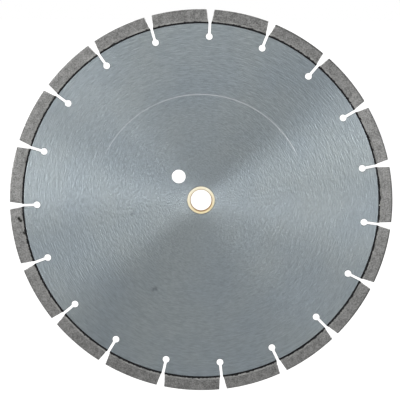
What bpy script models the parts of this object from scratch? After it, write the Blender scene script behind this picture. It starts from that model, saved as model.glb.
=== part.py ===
# Segmented diamond blade for masonry and concrete, 14 in, with a reducing bush.
# The blade stands upright: its axis is Y, its front face looks towards -Y, +Z is up,
# and the origin is the middle of the arbor hole at half the core's thickness.
# Angles are measured clockwise from the top, as the front face shows them.

import math

import bmesh
import bpy
from mathutils import Matrix

mm = 0.001
inch = 25.4 * mm

# Driving sizes
blade_diameter = 14 * inch
segment_count = 19
segment_height = 9.6 * mm        # diamond layer, along the radius
segment_end_gap = 3.4 * mm       # between two segments' feet, at the weld
foot_height = 1.3 * mm           # diamond-free layer that is welded to the core
weld_height = 1.2 * mm           # weld metal, along the radius
core_thickness = 2.4 * mm
side_clearance = 0.4 * mm        # how far a segment stands proud of the core, each side
weld_recess = 0.05 * mm          # how far the weld lies below the core's face
slot_width = 2.6 * mm
slot_depth = 12.2 * mm           # from the core's rim to the keyhole's centre
keyhole_diameter = 0.25 * inch
first_slot_angle = math.radians(2.85)
arbor_hole_diameter = 1 * inch
bush_bore_diameter = 0.75 * inch
bush_recess = 0.05 * mm          # keeps the bush out of the flanges' grip
bush_chamfer = 0.5 * mm
drive_pin_diameter = 0.5 * inch
drive_pin_clearance = 0.2 * mm
drive_pin_circle_radius = 1.1875 * inch
drive_pin_angle = math.radians(-43.5)
segment_edge_bevel = 0.3 * mm

# Clearances
piece_gap = 0.3 * mm             # between two pieces that touch on the real blade
cutter_overrun = 2.0 * mm        # how far a cutter stands out of what it cuts

# Facets
arc_steps = 6                    # along one segment
rim_facets = 8 * segment_count
hole_facets = 48
keyhole_facets = 20
sharp_angle = math.radians(30)   # edges sharper than this are bevelled or shaded hard
flat_angle = math.radians(0.5)   # faces flatter than this to each other are made one
merge_distance = 0.01 * mm

# Sizes that follow from those above
pitch = math.tau / segment_count
segment_outer_radius = blade_diameter / 2
segment_inner_radius = segment_outer_radius - segment_height
foot_outer_radius = segment_inner_radius - piece_gap
foot_inner_radius = foot_outer_radius - foot_height
weld_outer_radius = foot_inner_radius - piece_gap
weld_inner_radius = weld_outer_radius - weld_height
core_radius = weld_inner_radius - piece_gap
keyhole_centre_radius = core_radius - slot_depth
segment_thickness = core_thickness + 2 * side_clearance
weld_thickness = core_thickness - 2 * weld_recess
bush_thickness = core_thickness - 2 * bush_recess
bush_outer_radius = arbor_hole_diameter / 2 - piece_gap
bush_inner_radius = bush_bore_diameter / 2
drive_pin_hole_radius = (drive_pin_diameter + drive_pin_clearance) / 2


def half_length(radius, end_gap):
    """Half the length of a piece whose parallel ends leave end_gap to its neighbour."""
    return radius * math.sin(pitch / 2 - math.asin(end_gap / 2 / radius))


def arc(radius, start, end, steps):
    """Points (x, z) from one angle to another, both clockwise from +Z."""
    angles = [start + (end - start) * i / steps for i in range(steps + 1)]
    return [(radius * math.sin(a), radius * math.cos(a)) for a in angles]


def rim_piece_outline(inner_radius, outer_radius, half):
    """A stretch of the rim with two arcs and two parallel ends, centred on +Z."""
    outer = math.asin(half / outer_radius)
    inner = math.asin(half / inner_radius)
    outline = arc(outer_radius, -outer, outer, arc_steps)
    return outline + arc(inner_radius, inner, -inner, arc_steps)


def keyhole_outline():
    """A round hole with a straight slot that runs out past the rim, centred on +Z."""
    hole_radius = keyhole_diameter / 2
    mouth = math.asin(slot_width / 2 / hole_radius)
    hole = arc(hole_radius, mouth, math.tau - mouth, keyhole_facets)
    outline = [(x, z + keyhole_centre_radius) for x, z in hole]
    past_rim = core_radius + cutter_overrun
    return outline + [(-slot_width / 2, past_rim), (slot_width / 2, past_rim)]


def new_collection(name):
    collection = bpy.data.collections.new(name)
    bpy.context.scene.collection.children.link(collection)
    return collection


def new_material(name, color, roughness, metallic):
    material = bpy.data.materials.new(name)
    material.use_nodes = True
    shader = material.node_tree.nodes["Principled BSDF"]
    shader.inputs["Base Color"].default_value = (*color, 1)
    shader.inputs["Roughness"].default_value = roughness
    shader.inputs["Metallic"].default_value = metallic
    material.diffuse_color = (*color, 1)
    return material


def plate_mesh(name, outline, thickness):
    """A flat outline in XZ, filled and extruded along Y, as one closed mesh."""
    curve = bpy.data.curves.new(name + "_outline", "CURVE")
    curve.dimensions = "2D"
    curve.fill_mode = "BOTH"
    curve.extrude = thickness / 2
    spline = curve.splines.new("POLY")
    spline.points.add(len(outline) - 1)
    for point, (x, z) in zip(spline.points, outline):
        point.co = (x, z, 0, 1)
    spline.use_cyclic_u = True

    guide = bpy.data.objects.new(name + "_outline", curve)
    bpy.context.scene.collection.objects.link(guide)
    depsgraph = bpy.context.evaluated_depsgraph_get()
    mesh = bpy.data.meshes.new_from_object(guide.evaluated_get(depsgraph))
    mesh.name = name
    bpy.data.objects.remove(guide)

    bm = bmesh.new()
    bm.from_mesh(mesh)
    bmesh.ops.remove_doubles(bm, verts=bm.verts, dist=merge_distance)
    bmesh.ops.dissolve_limit(bm, angle_limit=flat_angle, verts=bm.verts, edges=bm.edges)
    bmesh.ops.rotate(bm, verts=bm.verts, matrix=Matrix.Rotation(math.pi / 2, 3, "X"))
    bmesh.ops.recalc_face_normals(bm, faces=bm.faces)
    bm.to_mesh(mesh)
    bm.free()
    return mesh


def place(name, mesh, collection, angle=0):
    """An object that turns about the blade's axis and hangs on the axis empty."""
    piece = bpy.data.objects.new(name, mesh)
    collection.objects.link(piece)
    piece.rotation_euler = (0, angle, 0)
    piece.parent = blade_axis
    return piece


def make_cutter(piece):
    piece.hide_render = True
    piece.display_type = "WIRE"


def plate_cylinder(name, radius, depth, facets, collection, x=0, z=0):
    """A cylinder along Y, moved from the active collection to the one it belongs in."""
    bpy.ops.mesh.primitive_cylinder_add(
        vertices=facets,
        radius=radius,
        depth=depth,
        location=(x, 0, z),
        rotation=(math.pi / 2, 0, 0),
    )
    piece = bpy.context.object
    piece.name = name
    for old_home in list(piece.users_collection):
        old_home.objects.unlink(piece)
    collection.objects.link(piece)
    return piece


def make_core():
    """The steel disc, with the arbor hole, the drive pin hole and the keyhole slots."""
    cut_depth = core_thickness + 2 * cutter_overrun
    pin_x = drive_pin_circle_radius * math.sin(drive_pin_angle)
    pin_z = drive_pin_circle_radius * math.cos(drive_pin_angle)
    arbor_radius = arbor_hole_diameter / 2
    make_cutter(plate_cylinder("arbor_hole_cutter", arbor_radius, cut_depth, hole_facets, cutters))
    make_cutter(
        plate_cylinder(
            "drive_pin_hole_cutter",
            drive_pin_hole_radius,
            cut_depth,
            hole_facets,
            cutters,
            x=pin_x,
            z=pin_z,
        )
    )
    keyhole = plate_mesh("keyhole_slot", keyhole_outline(), cut_depth)
    for i in range(segment_count):
        angle = first_slot_angle + i * pitch
        make_cutter(place(f"keyhole_cutter_{i + 1:02d}", keyhole, cutters, angle))

    core = plate_cylinder("steel_core", core_radius, core_thickness, rim_facets, blade)
    core.parent = blade_axis
    core.data.materials.append(steel)
    core.data.shade_smooth()
    core.data.set_sharp_from_angle(angle=sharp_angle)

    cut = core.modifiers.new("holes and slots", "BOOLEAN")
    cut.operation = "DIFFERENCE"
    cut.solver = "EXACT"
    cut.operand_type = "COLLECTION"
    cut.collection = cutters


def make_rim_pieces(name, inner_radius, outer_radius, half, thickness, material, bevel=0):
    """One flat piece of the rim for each segment, with its edges broken if bevel is given."""
    mesh = plate_mesh(name, rim_piece_outline(inner_radius, outer_radius, half), thickness)
    mesh.materials.append(material)
    for i in range(segment_count):
        angle = first_slot_angle + (i + 0.5) * pitch
        piece = place(f"{name}_{i + 1:02d}", mesh, blade, angle)
        if bevel:
            edges = piece.modifiers.new("broken edges", "BEVEL")
            edges.width = bevel
            edges.segments = 1
            edges.limit_method = "ANGLE"
            edges.angle_limit = sharp_angle


def make_bush():
    """The loose reducing ring in the arbor hole, turned about its own Z and laid along Y."""
    wall = bush_outer_radius - bush_inner_radius
    chamfer = min(bush_chamfer, wall / 4, bush_thickness / 4)
    outer_chamfer = chamfer / 2
    top = bush_thickness / 2
    profile = [
        (bush_outer_radius - outer_chamfer, top),
        (bush_outer_radius, top - outer_chamfer),
        (bush_outer_radius, -top + outer_chamfer),
        (bush_outer_radius - outer_chamfer, -top),
        (bush_inner_radius + chamfer, -top),
        (bush_inner_radius, -top + chamfer),
        (bush_inner_radius, top - chamfer),
        (bush_inner_radius + chamfer, top),
    ]
    bm = bmesh.new()
    corners = [bm.verts.new((x, 0, z)) for x, z in profile]
    for first, second in zip(corners, corners[1:] + corners[:1]):
        bm.edges.new((first, second))
    mesh = bpy.data.meshes.new("reducing_bush")
    bm.to_mesh(mesh)
    bm.free()

    bush = bpy.data.objects.new("reducing_bush", mesh)
    blade.objects.link(bush)
    bush.rotation_euler = (math.pi / 2, 0, 0)
    bush.parent = bush_slide
    mesh.materials.append(brass)
    turn = bush.modifiers.new("turned", "SCREW")
    turn.steps = hole_facets
    turn.render_steps = hole_facets
    turn.use_merge_vertices = True
    turn.merge_threshold = merge_distance


for old in list(bpy.data.objects):
    bpy.data.objects.remove(old)

blade = new_collection("diamond_blade")
cutters = new_collection("cutters")

blade_axis = bpy.data.objects.new("blade_axis", None)
bush_slide = bpy.data.objects.new("bush_slide", None)
blade.objects.link(blade_axis)
blade.objects.link(bush_slide)
bush_slide.parent = blade_axis

steel = new_material("steel", (0.29, 0.33, 0.35), 0.35, 1)
diamond_matrix = new_material("diamond_matrix", (0.22, 0.22, 0.21), 0.75, 0.6)
foot_metal = new_material("foot_metal", (0.42, 0.42, 0.40), 0.5, 1)
weld_metal = new_material("weld_metal", (0.02, 0.02, 0.02), 0.6, 0.8)
brass = new_material("brass", (0.78, 0.68, 0.40), 0.35, 1)

make_core()
make_rim_pieces(
    "segment",
    segment_inner_radius,
    segment_outer_radius,
    half_length(foot_inner_radius, segment_end_gap),
    segment_thickness,
    diamond_matrix,
    bevel=segment_edge_bevel,
)
make_rim_pieces(
    "segment_foot",
    foot_inner_radius,
    foot_outer_radius,
    half_length(foot_inner_radius, segment_end_gap),
    segment_thickness,
    foot_metal,
)
make_rim_pieces(
    "weld_seam",
    weld_inner_radius,
    weld_outer_radius,
    half_length(weld_inner_radius, slot_width),
    weld_thickness,
    weld_metal,
)
make_bush()
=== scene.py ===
import math

import bpy
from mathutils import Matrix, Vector


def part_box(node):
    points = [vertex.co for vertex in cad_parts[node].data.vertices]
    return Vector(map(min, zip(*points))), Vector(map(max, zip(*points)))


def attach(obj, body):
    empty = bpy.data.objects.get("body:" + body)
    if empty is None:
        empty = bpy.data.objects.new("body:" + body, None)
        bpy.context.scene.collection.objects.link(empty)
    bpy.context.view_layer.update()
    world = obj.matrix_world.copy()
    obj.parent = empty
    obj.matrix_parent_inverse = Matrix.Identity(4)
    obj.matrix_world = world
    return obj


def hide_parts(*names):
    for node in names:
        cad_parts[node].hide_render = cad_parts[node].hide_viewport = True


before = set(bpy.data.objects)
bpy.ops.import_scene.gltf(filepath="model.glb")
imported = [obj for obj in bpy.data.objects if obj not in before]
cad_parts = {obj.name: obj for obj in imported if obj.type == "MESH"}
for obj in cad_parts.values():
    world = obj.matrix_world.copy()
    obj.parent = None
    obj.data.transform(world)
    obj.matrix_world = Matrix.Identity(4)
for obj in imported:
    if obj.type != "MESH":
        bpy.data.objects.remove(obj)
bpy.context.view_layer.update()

# Diamond blade, upright. Its axis is Y and its front looks towards -Y.
# Angles are clockwise from the top, seen from the front.

mm = 0.001
alongAxis = (math.pi / 2, 0, 0)    # turns a cylinder onto the blade's axis
sharpAngle = math.radians(30)      # edges sharper than this are bevelled
acrossMarks = 0.25                 # light spreads across grinding marks, a quarter turn from them


# sizes and places of the CAD pieces

def nodesNamed(start):
    return sorted(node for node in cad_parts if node.startswith(start))


def radiiOf(node):
    points = [v.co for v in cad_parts[node].data.vertices]
    radii = [math.hypot(p.x, p.z) for p in points]
    return min(radii), max(radii)


def thicknessOf(node):
    low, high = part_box(node)
    return high[1] - low[1]


def angleOf(node):
    low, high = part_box(node)
    middle = (Vector(low) + Vector(high)) / 2
    return math.atan2(middle.x, middle.z)


footNodes = nodesNamed("segment_foot_")
weldNodes = nodesNamed("weld_seam_")
segmentNodes = [node for node in nodesNamed("segment_") if node not in footNodes]

arborRadius, coreRadius = radiiOf("steel_core")
segmentInner, segmentOuter = radiiOf(segmentNodes[0])
footInner, footOuter = radiiOf(footNodes[0])
weldInner = radiiOf(weldNodes[0])[0]
bushInner = radiiOf("reducing_bush")[0]
coreThickness = thicknessOf("steel_core")
segmentThickness = thicknessOf(segmentNodes[0])
bushThickness = thicknessOf("reducing_bush")

segmentCount = len(segmentNodes)
segmentAngles = [angleOf(node) for node in segmentNodes]
pitch = math.tau / segmentCount
slotAngles = [segmentAngles[0] + (i - 0.5) * pitch for i in range(segmentCount)]
boundary = (footOuter + segmentInner) / 2  # where a segment's diamond layer meets its foot


def around(radius, angle):
    return Vector((radius * math.sin(angle), 0, radius * math.cos(angle)))


# short ways to model

def deselectAll():
    bpy.ops.object.select_all(action="DESELECT")


def pick(*objects):
    deselectAll()
    for thing in objects:
        thing.select_set(True)
    bpy.context.view_layer.objects.active = objects[0]


def freeze(thing):  # place, turn and scale go into the mesh
    pick(thing)
    bpy.ops.object.transform_apply(location=True, rotation=True, scale=True)


def applyModifier(thing, kind, **values):
    modifier = thing.modifiers.new(kind.title(), kind)
    for name, value in values.items():
        setattr(modifier, name, value)
    pick(thing)
    bpy.ops.object.modifier_apply(modifier=modifier.name)


def smooth(thing, degrees):
    pick(thing)
    bpy.ops.object.shade_smooth_by_angle(angle=math.radians(degrees))


def mergeAndTurnOut(thing):  # double points go and every face looks outward
    pick(thing)
    bpy.ops.object.mode_set(mode="EDIT")
    bpy.ops.mesh.select_all(action="SELECT")
    bpy.ops.mesh.remove_doubles(threshold=0.005 * mm)
    bpy.ops.mesh.normals_make_consistent(inside=False)
    bpy.ops.object.mode_set(mode="OBJECT")


def finishPiece(thing, name, body, material, nodes):
    thing.name = name
    thing.data.name = name
    thing.data.materials.clear()
    thing.data.materials.append(material)
    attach(thing, body)
    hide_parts(*nodes)


# short ways to wire nodes

class Wiring:
    def __init__(self, tree):
        self.tree = tree
        self.column = 0

    def add(self, kind, **values):
        node = self.tree.nodes.new(kind)
        node.location = (self.column * 180, 0)
        self.column += 1
        for name, value in values.items():
            setattr(node, name, value)
        return node

    def link(self, source, target):
        self.tree.links.new(source, target)

    def feed(self, target, value):
        if isinstance(value, bpy.types.NodeSocket):
            self.link(value, target)
        else:
            target.default_value = value

    def math(self, operation, a, b=0.0, c=0.0):
        node = self.add("ShaderNodeMath", operation=operation)
        for target, value in zip(node.inputs, (a, b, c)):
            self.feed(target, value)
        return node.outputs[0]

    def vector(self, operation, a, b=None, scale=None):
        node = self.add("ShaderNodeVectorMath", operation=operation)
        self.feed(node.inputs[0], a)
        if b is not None:
            self.feed(node.inputs[1], b)
        if scale is not None:
            self.feed(node.inputs["Scale"], scale)
        return node.outputs["Value" if operation in ("LENGTH", "DISTANCE", "DOT_PRODUCT") else "Vector"]

    def combine(self, x, y, z):
        node = self.add("ShaderNodeCombineXYZ")
        for target, value in zip(node.inputs, (x, y, z)):
            self.feed(target, value)
        return node.outputs[0]

    def separate(self, vector):
        node = self.add("ShaderNodeSeparateXYZ")
        self.link(vector, node.inputs[0])
        return node.outputs

    def noise(self, vector, scale, detail=2.0, roughness=0.5):
        node = self.add("ShaderNodeTexNoise")
        self.feed(node.inputs["Vector"], vector)
        self.feed(node.inputs["Scale"], scale)
        node.inputs["Detail"].default_value = detail
        node.inputs["Roughness"].default_value = roughness
        return node.outputs["Fac"]

    def cells(self, vector, scale):
        node = self.add("ShaderNodeTexVoronoi")
        self.feed(node.inputs["Vector"], vector)
        self.feed(node.inputs["Scale"], scale)
        return node.outputs["Distance"]

    def spread(self, value, fromLow, fromHigh, toLow=0.0, toHigh=1.0):
        node = self.add("ShaderNodeMapRange")
        self.feed(node.inputs["Value"], value)
        for name, number in zip(("From Min", "From Max", "To Min", "To Max"),
                                (fromLow, fromHigh, toLow, toHigh)):
            self.feed(node.inputs[name], number)
        return node.outputs["Result"]

    def blend(self, factor, a, b):
        node = self.add("ShaderNodeMix", data_type="RGBA")
        self.feed(node.inputs["Factor"], factor)
        for target, value in ((node.inputs["A"], a), (node.inputs["B"], b)):
            if isinstance(value, tuple):
                value = (*value, 1)
            self.feed(target, value)
        return node.outputs["Result"]

    def group(self, tree, **values):
        node = self.add("ShaderNodeGroup")
        node.node_tree = tree
        for name, value in values.items():
            self.feed(node.inputs[name], value)
        return node.outputs

    def bump(self, height, strength, distance):
        node = self.add("ShaderNodeBump")
        node.inputs["Strength"].default_value = strength
        node.inputs["Distance"].default_value = distance
        self.link(height, node.inputs["Height"])
        return node.outputs["Normal"]

    def flat(self, place):  # the place without its depth along the blade's axis
        return self.vector("MULTIPLY", place, (1, 0, 1))

    def towards(self, flat, direction):  # 1 on that side of the axis, -1 on the far side
        return self.vector("DOT_PRODUCT", self.vector("NORMALIZE", flat), direction)

    def onFront(self, place):
        return self.math("LESS_THAN", self.separate(place)["Y"], 0.0)


def newMaterial(name):
    material = bpy.data.materials.new(name)
    material.use_nodes = True
    w = Wiring(material.node_tree)
    shader = material.node_tree.nodes["Principled BSDF"]
    place = w.add("ShaderNodeTexCoord").outputs["Object"]
    return material, w, shader, place


def newGroup(name, vectors, numbers, results):
    tree = bpy.data.node_groups.new(name, "ShaderNodeTree")
    for label in vectors:
        tree.interface.new_socket(name=label, in_out="INPUT", socket_type="NodeSocketVector")
    for label in numbers:
        tree.interface.new_socket(name=label, in_out="INPUT", socket_type="NodeSocketFloat")
    for label in results:
        tree.interface.new_socket(name=label, in_out="OUTPUT", socket_type="NodeSocketFloat")
    w = Wiring(tree)
    return tree, w, w.add("NodeGroupInput").outputs


def closeGroup(w, **results):
    end = w.add("NodeGroupOutput")
    for label, source in results.items():
        w.link(source, end.inputs[label])


# effects that several materials share

def makeCircularGrain():
    # grinding marks that run round the blade: fine across the radius, long round it
    tree, w, start = newGroup("circularGrain", ["Place"], ["Rings", "Sweep"], ["Grain"])
    flat = w.flat(start["Place"])
    heading = w.separate(w.vector("SCALE", w.vector("NORMALIZE", flat), scale=start["Sweep"]))
    across = w.math("MULTIPLY", w.vector("LENGTH", flat), start["Rings"])
    polar = w.combine(heading["X"], across, heading["Z"])
    closeGroup(w, Grain=w.noise(polar, 1.0, detail=3.0, roughness=0.6))
    return tree


def makeSinteredGrit():
    # mottled metal powder with small dark grit, pits and a few bright grains
    tree, w, start = newGroup("sinteredGrit", ["Place"], ["Grains"], ["Mottle", "Dark", "Bright", "Height"])
    place, grains = start["Place"], start["Grains"]
    cloud = w.noise(place, 700.0, detail=4.0, roughness=0.7)
    broad = w.noise(place, 240.0)
    mottle = w.math("ADD", w.math("MULTIPLY", cloud, 0.7), w.math("MULTIPLY", broad, 0.3))
    patch = w.spread(w.noise(place, 180.0), 0.45, 0.65)
    dark = w.math("MULTIPLY", w.spread(w.cells(place, grains), 0.34, 0.16), patch)
    shifted = w.vector("ADD", place, (0.31, 0.17, 0.23))
    bright = w.spread(w.cells(shifted, w.math("MULTIPLY", grains, 1.3)), 0.2, 0.1)
    powder = w.noise(place, 1500.0, detail=3.0)
    height = w.math("SUBTRACT", w.math("ADD", powder, w.math("MULTIPLY", cloud, 1.2)), dark)
    closeGroup(w, Mottle=w.spread(mottle, 0.37, 0.63), Dark=dark, Bright=bright, Height=height)
    return tree


def makeStain():
    # a soft round mark at one place on the blade, torn a little by noise
    tree, w, start = newGroup("stain", ["Place", "Centre"], ["Reach"], ["Mask"])
    place, reach = start["Place"], start["Reach"]
    torn = w.math("MULTIPLY", w.noise(place, 500.0), reach)
    away = w.math("ADD", w.vector("DISTANCE", place, start["Centre"]), torn)
    closeGroup(w, Mask=w.spread(away, w.math("MULTIPLY", reach, 1.6), w.math("MULTIPLY", reach, 0.5)))
    return tree


circularGrain = makeCircularGrain()
sinteredGrit = makeSinteredGrit()
stain = makeStain()
print("node groups made")


def stainsAt(w, flat, spots):  # each spot is x, z and reach
    marks = 0.0
    for x, z, reach in spots:
        mark = w.group(stain, Place=flat, Centre=(x, 0, z), Reach=reach)["Mask"]
        marks = w.math("MAXIMUM", mark, marks)
    return marks


# steel core

core = {
    "rimSteps": 24 * segmentCount,
    "rimUnderWeld": 0.1 * mm,      # the disc ends this far inside the node's rim
    "arborSteps": 160,
    "slotWidth": 2.5 * mm,
    "slotOverrun": 4 * mm,         # how far a slot's cutter passes the rim
    "keyholeDiameter": 6.25 * mm,
    "keyholeBelowRim": 12.2 * mm,
    "keyholeSteps": 56,
    "pinHole": 12.85 * mm,
    "pinCircle": 30.1625 * mm,
    "pinAngle": math.radians(-43.5),
    "pinHoleSteps": 96,
    "brokenEdge": 0.08 * mm,
    "cool": (0.414, 0.474, 0.513),
    "warm": (0.45, 0.502, 0.518),
    "shadow": (0.24, 0.275, 0.30),     # the dark side of a grinding mark
    "shadowShare": 0.62,
    "fineRings": 850.0,            # grinding marks to a metre of radius
    "fineSweep": 20.0,
    "broadRings": 430.0,
    "broadSweep": 16.0,
    "markHeight": 0.09 * mm,
    "roughness": 0.36,
    "roughnessPlay": 0.05,
    "anisotropy": 0.9,
    "arcRadius": 98.6 * mm,        # a scribed groove, whose highlight is painted into the colour
    "arcWidth": 1.1 * mm,
    "arcReach": math.radians(65),
    "arcHighlightTone": (0.85, 0.88, 0.9),
    "arcLeftShare": 0.35,
    "arcRightShare": 0.64,
    "bushShadeWidth": 0.9 * mm,         # painted shade: a dark ring in the gap round the bush
    "bushShadeTone": (0.13, 0.13, 0.11),
    "bushShadeShare": 0.7,
    "cutShadeWidth": 0.7 * mm,           # painted shade: the dark line beside the cuts
    "cutShadeTone": (0.12, 0.14, 0.13),
    "cutShadeShare": 0.45,
    "smudges": [(-64.3 * mm, -13.0 * mm, 2.4 * mm), (-63.0 * mm, -12.9 * mm, 2.4 * mm),
                (-44.0 * mm, -83.4 * mm, 2.3 * mm), (-42.2 * mm, -83.0 * mm, 2.6 * mm)],
    "smudgeTone": (0.12, 0.14, 0.15),
    "smudgeShare": 0.75,
}

keyholeRadius = coreRadius - core["keyholeBelowRim"]
pinPlace = around(core["pinCircle"], core["pinAngle"])


def shadeBesideCuts(w, flat, radius):
    # painted shade: a dark line beside every slot and keyhole, and round the drive pin hole
    spot = w.separate(flat)
    heading = w.math("SUBTRACT", w.math("ARCTAN2", spot["X"], spot["Z"]), segmentAngles[0])
    fromSlotMiddle = w.math("SUBTRACT", w.math("WRAP", heading, pitch), pitch / 2)
    sideways = w.math("MULTIPLY", fromSlotMiddle, radius)
    outwards = w.math("SUBTRACT", radius, keyholeRadius)
    fromMiddle = w.vector("LENGTH", w.combine(sideways, outwards, 0.0))
    fromKeyhole = w.math("SUBTRACT", fromMiddle, core["keyholeDiameter"] / 2)
    fromSlot = w.math("SUBTRACT", w.math("ABSOLUTE", sideways), core["slotWidth"] / 2)
    fromSlot = w.math("ADD", fromSlot, w.math("LESS_THAN", outwards, 0.0))  # no slot below the keyholes
    fromPin = w.math("SUBTRACT", w.vector("DISTANCE", flat, pinPlace), core["pinHole"] / 2)
    nearest = w.math("MINIMUM", fromPin, w.math("MINIMUM", fromKeyhole, fromSlot))
    return w.spread(nearest, core["cutShadeWidth"], core["cutShadeWidth"] * 0.2)


def scribedArcHighlight(w, flat, radius):
    # painted highlight: a thin bright line along a scribed groove, over the upper half, stronger on the right
    away = w.math("ABSOLUTE", w.math("SUBTRACT", radius, core["arcRadius"]))
    line = w.spread(away, core["arcWidth"] * 0.6, core["arcWidth"] * 0.2)
    end = math.cos(core["arcReach"])
    onTop = w.spread(w.towards(flat, (0, 0, 1)), end - 0.03, end + 0.1)
    rightward = w.towards(flat, (1, 0, 0))
    share = w.spread(rightward, -0.4, -0.15, core["arcLeftShare"], core["arcRightShare"])
    return w.math("MULTIPLY", w.math("MULTIPLY", line, onTop), share)


def makeSteel():
    material, w, shader, place = newMaterial("groundSteel")
    flat = w.flat(place)
    radius = w.vector("LENGTH", flat)
    front = w.onFront(place)

    fine = w.group(circularGrain, Place=place, Rings=core["fineRings"], Sweep=core["fineSweep"])["Grain"]
    broad = w.group(circularGrain, Place=place, Rings=core["broadRings"], Sweep=core["broadSweep"])["Grain"]
    streaks = w.math("ADD", w.spread(fine, 0.3, 0.7, -0.6, 0.6), w.spread(broad, 0.3, 0.7, -0.4, 0.4))
    cloud = w.noise(place, 14.0, detail=3.0)
    color = w.blend(w.spread(cloud, 0.38, 0.62), core["cool"], core["warm"])
    color = w.blend(w.spread(streaks, -0.6, 0.6, core["shadowShare"], 0.0), color, core["shadow"])

    # painted highlight of the scribed groove, on the front only
    arcHighlight = w.math("MULTIPLY", scribedArcHighlight(w, flat, radius), front)
    color = w.blend(arcHighlight, color, core["arcHighlightTone"])
    # painted shade where the core meets the bush
    bushShade = w.spread(radius, arborRadius + core["bushShadeWidth"], arborRadius + core["bushShadeWidth"] * 0.3)
    color = w.blend(w.math("MULTIPLY", bushShade, core["bushShadeShare"]), color, core["bushShadeTone"])
    # painted shade along the edges of the cuts
    cuts = w.math("MULTIPLY", shadeBesideCuts(w, flat, radius), core["cutShadeShare"])
    color = w.blend(cuts, color, core["cutShadeTone"])
    smudges = w.math("MULTIPLY", stainsAt(w, flat, core["smudges"]), front)
    color = w.blend(w.math("MULTIPLY", smudges, core["smudgeShare"]), color, core["smudgeTone"])
    w.link(color, shader.inputs["Base Color"])

    dullest, brightest = core["roughness"] + core["roughnessPlay"], core["roughness"] - core["roughnessPlay"]
    rough = w.spread(streaks, -0.8, 0.8, dullest, brightest)
    w.link(w.math("ADD", rough, w.math("MULTIPLY", smudges, 0.15)), shader.inputs["Roughness"])
    w.link(w.bump(streaks, 1.0, core["markHeight"]), shader.inputs["Normal"])
    shader.inputs["Metallic"].default_value = 1.0
    shader.inputs["Anisotropic"].default_value = core["anisotropy"]
    shader.inputs["Anisotropic Rotation"].default_value = acrossMarks
    tangent = w.add("ShaderNodeTangent", direction_type="RADIAL", axis="Y")
    w.link(tangent.outputs[0], shader.inputs["Tangent"])
    return material


def roundCutter(diameter, place, steps):
    bpy.ops.mesh.primitive_cylinder_add(vertices=steps, radius=diameter / 2, depth=coreThickness * 3,
                                        location=place, rotation=alongAxis)
    return bpy.context.object


def slotCutter(angle):
    length = core["keyholeBelowRim"] + core["slotOverrun"]
    bpy.ops.mesh.primitive_cube_add(size=1, location=around(keyholeRadius + length / 2, angle),
                                    rotation=(0, angle, 0),
                                    scale=(core["slotWidth"], coreThickness * 3, length))
    return bpy.context.object


def cutFrom(thing, cutters):
    pick(*cutters)
    bpy.ops.object.join()
    tool = bpy.context.object
    applyModifier(thing, "BOOLEAN", operation="DIFFERENCE", solver="EXACT", object=tool)
    bpy.data.objects.remove(tool)


def makeCore():
    deselectAll()
    bpy.ops.mesh.primitive_cylinder_add(vertices=core["rimSteps"], radius=coreRadius - core["rimUnderWeld"],
                                        depth=coreThickness, rotation=alongAxis)
    disc = bpy.context.object
    freeze(disc)
    holes = [roundCutter(arborRadius * 2, (0, 0, 0), core["arborSteps"]),
             roundCutter(core["pinHole"], pinPlace, core["pinHoleSteps"])]
    for angle in slotAngles:
        holes.append(roundCutter(core["keyholeDiameter"], around(keyholeRadius, angle), core["keyholeSteps"]))
    cutFrom(disc, holes)
    cutFrom(disc, [slotCutter(angle) for angle in slotAngles])
    applyModifier(disc, "BEVEL", width=core["brokenEdge"], segments=1, limit_method="ANGLE",
                  angle_limit=sharpAngle, use_clamp_overlap=False)
    smooth(disc, 30)
    finishPiece(disc, "core_disc", "blade", makeSteel(), ["steel_core"])


makeCore()
print("core made")


# pieces of the rim

rim = {
    "endGap": 3.4 * mm,            # between two segments, at their feet
    "spinSpare": math.radians(1),  # spun this far past each end, before the ends are cut
    "boundaryMargin": 0.5 * mm,    # edges this near a segment's own boundary stay sharp
    "blemish": (0.012, 0.012, 0.01),
    "blemishSpots": [(-169.7 * mm, -17.6 * mm, 1.5 * mm), (-168.5 * mm, -18.7 * mm, 1.5 * mm),
                     (-167.4 * mm, -19.8 * mm, 1.8 * mm), (-165.0 * mm, -30.6 * mm, 1.1 * mm),
                     (-164.5 * mm, -32.0 * mm, 1.2 * mm)],
}


def halfLength(radius, gap):  # of a piece whose ends leave that gap to its neighbours
    return radius * math.sin(pitch / 2 - math.asin(gap / 2 / radius))


def spinAndTrim(strip, inner, half, steps):
    # spun about the blade's axis, with its ends cut parallel
    reach = math.asin(half / inner) + rim["spinSpare"]
    strip.rotation_euler = (0, -reach, 0)
    freeze(strip)
    bpy.ops.object.mode_set(mode="EDIT")
    bpy.ops.mesh.select_all(action="SELECT")
    bpy.ops.mesh.spin(steps=steps, angle=2 * reach, center=(0, 0, 0), axis=(0, -1, 0))
    for side in (-1, 1):
        bpy.ops.mesh.select_all(action="SELECT")
        bpy.ops.mesh.bisect(plane_co=(side * half, 0, 0), plane_no=(side, 0, 0), use_fill=True,
                            clear_outer=True, threshold=0.001 * mm)
    bpy.ops.object.mode_set(mode="OBJECT")
    mergeAndTurnOut(strip)


def sweepSector(inner, outer, half, steps, cuts):
    bpy.ops.mesh.primitive_plane_add(size=1, location=(0, 0, (inner + outer) / 2),
                                     rotation=(0, math.pi / 2, 0))
    strip = bpy.context.object
    strip.scale = (outer - inner, segmentThickness, 1)
    freeze(strip)
    if cuts:
        bpy.ops.object.mode_set(mode="EDIT")
        bpy.ops.mesh.select_all(action="SELECT")
        bpy.ops.mesh.subdivide(number_cuts=cuts)
        bpy.ops.object.mode_set(mode="OBJECT")
    spinAndTrim(strip, inner, half, steps)
    return strip


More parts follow.
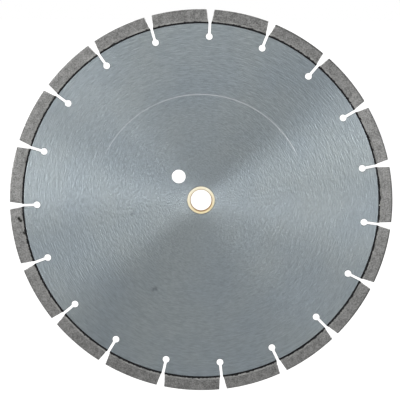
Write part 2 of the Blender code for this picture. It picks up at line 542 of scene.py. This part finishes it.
def bevelSharp(thing, width, rings, wanted):  # only the sharp edges whose radius is wanted
    pick(thing)
    bpy.ops.object.mode_set(mode="EDIT")
    bpy.ops.mesh.select_mode(type="EDGE")
    bpy.ops.mesh.select_all(action="DESELECT")
    bpy.ops.mesh.edges_select_sharp(sharpness=sharpAngle)
    bpy.ops.object.mode_set(mode="OBJECT")
    points = thing.data.vertices
    for edge in thing.data.edges:
        first, second = (points[i].co for i in edge.vertices)
        middle = (first + second) / 2
        edge.select = edge.select and wanted(math.hypot(middle.x, middle.z))
    bpy.ops.object.mode_set(mode="EDIT")
    bpy.ops.mesh.bevel(offset=width, segments=rings, affect="EDGES")
    bpy.ops.mesh.select_mode(type="VERT")
    bpy.ops.object.mode_set(mode="OBJECT")


def copyRound(master, angle):
    piece = master.copy()
    piece.data = master.data.copy()
    bpy.context.scene.collection.objects.link(piece)
    piece.rotation_euler = (0, angle, 0)
    freeze(piece)
    return piece


def roughen(piece, size, height):  # small real bumps, different at each place on the blade
    texture = bpy.data.textures.new("unevenness", "CLOUDS")
    texture.noise_scale = size
    texture.noise_depth = 2
    applyModifier(piece, "DISPLACE", texture=texture, texture_coords="GLOBAL",
                  strength=height, mid_level=0.5)


def withBlemish(w, place, color):  # short black marks on the front of the rim
    marks = w.spread(stainsAt(w, w.flat(place), rim["blemishSpots"]), 0.15, 0.5)
    return w.blend(w.math("MULTIPLY", marks, w.onFront(place)), color, rim["blemish"])


# diamond segments

segment = {
    "steps": 30,
    "cuts": 2,
    "edge": 0.4 * mm,
    "bumpSize": 1.1 * mm,
    "bumpHeight": 0.07 * mm,
    "light": (0.36, 0.359, 0.352),
    "dark": (0.111, 0.111, 0.109),
    "grit": (0.035, 0.035, 0.035),
    "gritShare": 0.85,
    "shine": (0.75, 0.75, 0.72),
    "shineShare": 0.35,
    "grains": 620.0,               # cells of grit to a metre
    "roughness": 0.45,
    "anisotropy": 0.8,
    "skin": 1.6 * mm,              # the outer skin stays darker than the ground sides, and is darker still on the right with painted shade
    "skinAndShadeTone": (0.075, 0.075, 0.073),
    "skinLeftShare": 0.15,
    "skinAndShadeRightShare": 0.8,
}


def makeDiamondMatrix():
    material, w, shader, place = newMaterial("diamondMatrix")
    grit = w.group(sinteredGrit, Place=place, Grains=segment["grains"])
    color = w.blend(grit["Mottle"], segment["dark"], segment["light"])
    color = w.blend(w.math("MULTIPLY", grit["Dark"], segment["gritShare"]), color, segment["grit"])
    color = w.blend(w.math("MULTIPLY", grit["Bright"], segment["shineShare"]), color, segment["shine"])

    flat = w.flat(place)
    skin = w.spread(w.vector("LENGTH", flat), segmentOuter - segment["skin"],
                    segmentOuter - segment["skin"] * 0.5)
    # the skin darkens much more towards the right: painted shade on the side away from the light
    share = w.spread(w.towards(flat, (1, 0, 0.2)), 0.3, 0.8,
                     segment["skinLeftShare"], segment["skinAndShadeRightShare"])
    color = w.blend(w.math("MULTIPLY", skin, share), color, segment["skinAndShadeTone"])
    w.link(withBlemish(w, place, color), shader.inputs["Base Color"])

    rough = w.spread(grit["Mottle"], 0, 1, segment["roughness"] + 0.12, segment["roughness"] - 0.08)
    w.link(rough, shader.inputs["Roughness"])
    w.link(w.spread(grit["Dark"], 0, 1, 0.85, 0.1), shader.inputs["Metallic"])
    w.link(w.bump(grit["Height"], 0.35, 0.12 * mm), shader.inputs["Normal"])
    shader.inputs["Anisotropic"].default_value = segment["anisotropy"]
    shader.inputs["Anisotropic Rotation"].default_value = acrossMarks
    w.link(w.vector("CROSS_PRODUCT", place, (0, 1, 0)), shader.inputs["Tangent"])
    return material


def keepInside(piece):  # bumps are pressed back where they would pass the blade's own size
    limit = segmentThickness / 2
    for point in piece.data.vertices:
        radius = math.hypot(point.co.x, point.co.z)
        if radius > segmentOuter:
            point.co.x *= segmentOuter / radius
            point.co.z *= segmentOuter / radius
        point.co.y = max(-limit, min(limit, point.co.y))


def makeSegments():
    half = halfLength(footInner, rim["endGap"])
    master = sweepSector(boundary, segmentOuter, half, segment["steps"], segment["cuts"])
    bevelSharp(master, segment["edge"], 2, lambda radius: radius > boundary + rim["boundaryMargin"])
    applyModifier(master, "SUBSURF", subdivision_type="SIMPLE", levels=1, render_levels=1)
    material = makeDiamondMatrix()
    for number, (node, angle) in enumerate(zip(segmentNodes, segmentAngles), 1):
        piece = copyRound(master, angle)
        roughen(piece, segment["bumpSize"], segment["bumpHeight"])
        keepInside(piece)
        smooth(piece, 35)
        finishPiece(piece, f"rim_segment_{number:02d}", "blade", material, [node])
    bpy.data.objects.remove(master)


# diamond-free feet

foot = {
    "steps": 26,
    "edge": 0.15 * mm,
    "overWeld": 0.3 * mm,          # how far it reaches in over the weld
    "bare": (0.27, 0.27, 0.26),
    "dull": (0.125, 0.125, 0.121),
    "soot": (0.008, 0.008, 0.008),
    "sootReach": 1.0 * mm,
    "metallic": 0.3,
}


def makeFootMetal():
    material, w, shader, place = newMaterial("footMetal")
    grain = w.group(circularGrain, Place=place, Rings=1500.0, Sweep=20.0)["Grain"]
    cloud = w.noise(place, 300.0, detail=3.0)
    patches = w.math("ADD", w.noise(place, 110.0), w.math("MULTIPLY", cloud, 0.6))
    dull = w.spread(w.math("ADD", patches, w.math("MULTIPLY", grain, 0.3)), 0.72, 1.15)
    color = w.blend(dull, foot["bare"], foot["dull"])

    # weld soot creeps over the edge here and there
    creep = w.spread(w.noise(place, 420.0), 0.45, 0.7, 0.0, foot["sootReach"])
    fromWeld = w.math("SUBTRACT", w.vector("LENGTH", w.flat(place)), footInner - foot["overWeld"])
    soot = w.spread(w.math("SUBTRACT", fromWeld, creep), 0.15 * mm, -0.05 * mm)
    color = w.blend(soot, color, foot["soot"])
    w.link(withBlemish(w, place, color), shader.inputs["Base Color"])
    w.link(w.spread(dull, 0, 1, 0.4, 0.6), shader.inputs["Roughness"])
    w.link(w.bump(cloud, 0.4, 0.1 * mm), shader.inputs["Normal"])
    shader.inputs["Metallic"].default_value = foot["metallic"]
    return material


def makeFeet():
    half = halfLength(footInner, rim["endGap"])
    master = sweepSector(footInner - foot["overWeld"], boundary, half, foot["steps"], 0)
    bevelSharp(master, foot["edge"], 2, lambda radius: radius < boundary - rim["boundaryMargin"])
    material = makeFootMetal()
    for number, (node, angle) in enumerate(zip(footNodes, segmentAngles), 1):
        piece = copyRound(master, angle)
        smooth(piece, 35)
        finishPiece(piece, f"rim_foot_{number:02d}", "blade", material, [node])
    bpy.data.objects.remove(master)


# weld beads

weld = {
    "steps": 90,
    "sides": 14,
    "slotGap": 2.6 * mm,
    "overlap": 0.25 * mm,          # into the core on one side and the foot on the other
    "sunk": 0.03 * mm,             # below the core's faces
    "bumpSize": 1.3 * mm,
    "bumpHeight": 0.35 * mm,
    "black": (0.004, 0.004, 0.005),
    "scale": (0.02, 0.02, 0.022),
    "bareSpot": (165.6 * mm, 0, -4.0 * mm),
    "bareReach": 0.8 * mm,
    "bareTone": (0.5, 0.52, 0.5),
    "specular": 0.15,
}


def makeWeldBlack():
    material, w, shader, place = newMaterial("weldBlack")
    cloud = w.noise(place, 700.0, detail=3.0)
    color = w.blend(w.spread(cloud, 0.55, 0.7), weld["black"], weld["scale"])
    bare = w.group(stain, Place=w.flat(place), Centre=weld["bareSpot"], Reach=weld["bareReach"])["Mask"]
    w.link(w.blend(bare, color, weld["bareTone"]), shader.inputs["Base Color"])
    w.link(w.spread(cloud, 0.3, 0.7, 0.5, 0.85), shader.inputs["Roughness"])
    w.link(w.bump(cloud, 0.8, 0.2 * mm), shader.inputs["Normal"])
    shader.inputs["Specular IOR Level"].default_value = weld["specular"]
    return material


def makeWelds():
    middle = (coreRadius + footInner) / 2
    bpy.ops.mesh.primitive_circle_add(vertices=weld["sides"], radius=1, fill_type="NGON",
                                      location=(0, 0, middle), rotation=(0, math.pi / 2, 0))
    master = bpy.context.object
    master.scale = ((footInner - coreRadius) / 2 + weld["overlap"], coreThickness / 2 - weld["sunk"], 1)
    freeze(master)
    spinAndTrim(master, weldInner, halfLength(middle, weld["slotGap"]), weld["steps"])
    material = makeWeldBlack()
    for number, (node, angle) in enumerate(zip(weldNodes, segmentAngles), 1):
        piece = copyRound(master, angle)
        roughen(piece, weld["bumpSize"], weld["bumpHeight"])
        smooth(piece, 50)
        finishPiece(piece, f"weld_bead_{number:02d}", "blade", material, [node])
    bpy.data.objects.remove(master)


# reducing bush

bush = {
    "steps": 144,
    "play": 0.05 * mm,             # left between the ring and the core
    "boreEdge": 0.7 * mm,
    "outerEdge": 0.22 * mm,
    "gold": (0.94, 0.80, 0.50),
    # painted light: the paler tone of the upper side
    "litPale": (0.98, 0.92, 0.74),
    "deep": (0.62, 0.42, 0.17),
    "rings": 3200.0,               # turning marks to a metre of radius
    # painted shade in the bore and its chamfer
    "boreShade": (0.30, 0.16, 0.06),
    "boreShadeWidth": 1.0 * mm,
    "boreShadeBelow": 0.5 * mm,      # wider by this much at the bottom
    "metallic": 0.55,
}


def makeBushMetal():
    material, w, shader, place = newMaterial("turnedBrass")
    fine = w.group(circularGrain, Place=place, Rings=bush["rings"], Sweep=3.0)["Grain"]
    flat = w.flat(place)
    # painted light: paler towards the top and gold towards the bottom, broken by random patches
    below = w.spread(w.towards(flat, (0.35, 0, -0.94)), -0.4, 0.9)
    patches = w.spread(w.noise(place, 120.0), 0.3, 0.6, 0.6, 1.0)
    color = w.blend(w.math("MULTIPLY", w.math("SUBTRACT", 1.0, below), patches), bush["gold"], bush["litPale"])
    color = w.blend(w.spread(fine, 0.55, 0.8, 0.0, 0.2), color, bush["deep"])

    # painted shade along the bore's edge, most of all at the bottom
    fromBore = w.math("SUBTRACT", w.vector("LENGTH", flat), bushInner)
    fromBore = w.math("SUBTRACT", fromBore, w.math("MULTIPLY", below, bush["boreShadeBelow"]))
    boreShade = w.spread(fromBore, bush["boreShadeWidth"], bush["boreShadeWidth"] * 0.5)
    boreShade = w.math("MULTIPLY", boreShade, w.spread(below, 0, 1, 0.7, 0.9))
    w.link(w.blend(boreShade, color, bush["boreShade"]), shader.inputs["Base Color"])
    w.link(w.spread(fine, 0.2, 0.8, 0.28, 0.42), shader.inputs["Roughness"])
    w.link(w.bump(fine, 0.2, 0.03 * mm), shader.inputs["Normal"])
    shader.inputs["Metallic"].default_value = bush["metallic"]
    return material


def makeBush():
    deselectAll()
    outer = arborRadius - bush["play"]
    bpy.ops.mesh.primitive_cylinder_add(vertices=bush["steps"], radius=outer, depth=bushThickness,
                                        rotation=alongAxis)
    ring = bpy.context.object
    freeze(ring)

    # both end faces are inset to the bore, and the bore is bridged between them
    bpy.ops.object.mode_set(mode="EDIT")
    bpy.ops.mesh.select_mode(type="FACE")
    bpy.ops.mesh.select_all(action="DESELECT")
    bpy.ops.object.mode_set(mode="OBJECT")
    for face in ring.data.polygons:
        face.select = abs(face.normal.y) > 0.9
    bpy.ops.object.mode_set(mode="EDIT")
    bpy.ops.mesh.inset(thickness=outer - bushInner)
    bpy.ops.mesh.bridge_edge_loops()
    bpy.ops.mesh.select_mode(type="VERT")
    bpy.ops.object.mode_set(mode="OBJECT")
    mergeAndTurnOut(ring)

    halfway = (bushInner + outer) / 2
    bevelSharp(ring, bush["boreEdge"], 3, lambda radius: radius < halfway)
    bevelSharp(ring, bush["outerEdge"], 2, lambda radius: radius > halfway)
    smooth(ring, 25)
    finishPiece(ring, "bush_ring", "bush", makeBushMetal(), ["reducing_bush"])


makeSegments()
print("segments made")
makeFeet()
print("feet made")
makeWelds()
print("welds made")
makeBush()
print("bush made")


# floor, light and camera

studio = {
    "floorHeight": -0.9,
    "floorSize": 24.0,
    "floorTone": 0.85,
    "floorTonePlay": 0.01,
    "floorGlow": 1.0,          # for the camera only
    "ambient": (0.256, 0.256, 0.256),
    "powerBehind": 0.6,        # of the same lights behind the blade
    "lens": 1000,
    "azimuth": 2.0,
    "elevation": 6.0,
    "widthInView": 0.9574,     # the blade's width as a share of the view
    "aim": Vector((-1.0 * mm, 0, 0)),
    "clipEnd": 100,
}

softboxes = [  # name, angle round the blade, angle off its axis, distance, width, height, power
    ("overhead", 345, 48, 0.6, 1.4, 0.5, 2.7),
    ("right", 73, 50, 2.2, 0.5, 0.9, 10.4),
    ("upperRight", 68, 50, 2.2, 0.3, 0.9, 11.9),
    ("besideRight", 84, 50, 1.8, 0.3, 0.7, 1.8),
    ("lowerRight", 98, 50, 1.8, 0.4, 0.7, 4.4),
    ("left", 272, 50, 1.8, 0.4, 0.7, 12.8),
    ("upperLeft", 300, 50, 1.8, 0.4, 0.7, 5.3),
    ("nearUpperLeft", 315, 50, 0.8, 0.3, 0.35, 0.37),
]


def makeFloor():
    deselectAll()
    bpy.ops.mesh.primitive_plane_add(size=studio["floorSize"], location=(0, 0, studio["floorHeight"]))
    floor = bpy.context.object
    floor.name = "floor"
    material, w, shader, place = newMaterial("paleFloor")
    tone = w.spread(w.noise(place, 3.0), 0.3, 0.7, studio["floorTone"] - studio["floorTonePlay"],
                    studio["floorTone"] + studio["floorTonePlay"])
    w.link(w.combine(tone, tone, tone), shader.inputs["Base Color"])
    shader.inputs["Roughness"].default_value = 0.9
    shader.inputs["Specular IOR Level"].default_value = 0.0
    shader.inputs["Emission Strength"].default_value = 1.0
    seen = w.math("MULTIPLY", w.add("ShaderNodeLightPath").outputs["Is Camera Ray"], studio["floorGlow"])
    w.link(w.combine(seen, seen, seen), shader.inputs["Emission Color"])
    floor.data.materials.append(material)


def makeWorld():  # white behind the blade, and a softer tone for what it reflects
    world = bpy.data.worlds.new("studioWorld")
    bpy.context.scene.world = world
    world.use_nodes = True
    w = Wiring(world.node_tree)
    ambient = world.node_tree.nodes["Background"]
    ambient.inputs["Color"].default_value = (*studio["ambient"], 1)
    white = w.add("ShaderNodeBackground")
    white.inputs["Color"].default_value = (1, 1, 1, 1)
    mix = w.add("ShaderNodeMixShader")
    w.link(w.add("ShaderNodeLightPath").outputs["Is Camera Ray"], mix.inputs["Fac"])
    w.link(ambient.outputs[0], mix.inputs[1])
    w.link(white.outputs[0], mix.inputs[2])
    w.link(mix.outputs[0], world.node_tree.nodes["World Output"].inputs["Surface"])


def makeSoftbox(name, roundAngle, offAxis, distance, width, height, power, side):
    turn, off = math.radians(roundAngle), math.radians(offAxis)
    outwards = math.sin(off)
    direction = Vector((math.sin(turn) * outwards, side * math.cos(off), math.cos(turn) * outwards))
    bpy.ops.object.light_add(type="AREA", location=direction * distance)
    light = bpy.context.object
    light.name = name
    light.data.shape = "RECTANGLE"
    light.data.size = width
    light.data.size_y = height
    light.data.energy = power * (1.0 if side < 0 else studio["powerBehind"])
    light.visible_camera = False
    light.rotation_euler = direction.to_track_quat("Z", "Y").to_euler()


def makeCamera():
    camera = bpy.data.objects.new("camera", bpy.data.cameras.new("camera"))
    bpy.context.scene.collection.objects.link(camera)
    camera.data.lens = studio["lens"]
    camera.data.clip_end = studio["clipEnd"]
    turn, rise = math.radians(studio["azimuth"]), math.radians(studio["elevation"])
    back = Vector((math.sin(turn) * math.cos(rise), -math.cos(turn) * math.cos(rise), math.sin(rise)))
    shown = 2 * segmentOuter / studio["widthInView"]
    distance = shown * studio["lens"] / camera.data.sensor_width
    camera.location = studio["aim"] + back * distance
    camera.rotation_euler = back.to_track_quat("Z", "Y").to_euler()
    bpy.context.scene.camera = camera


makeFloor()
makeWorld()
for box in softboxes:
    makeSoftbox(*box, -1)
    makeSoftbox(*box, 1)
makeCamera()
bpy.context.scene.view_settings.view_transform = "Standard"
print("studio made")
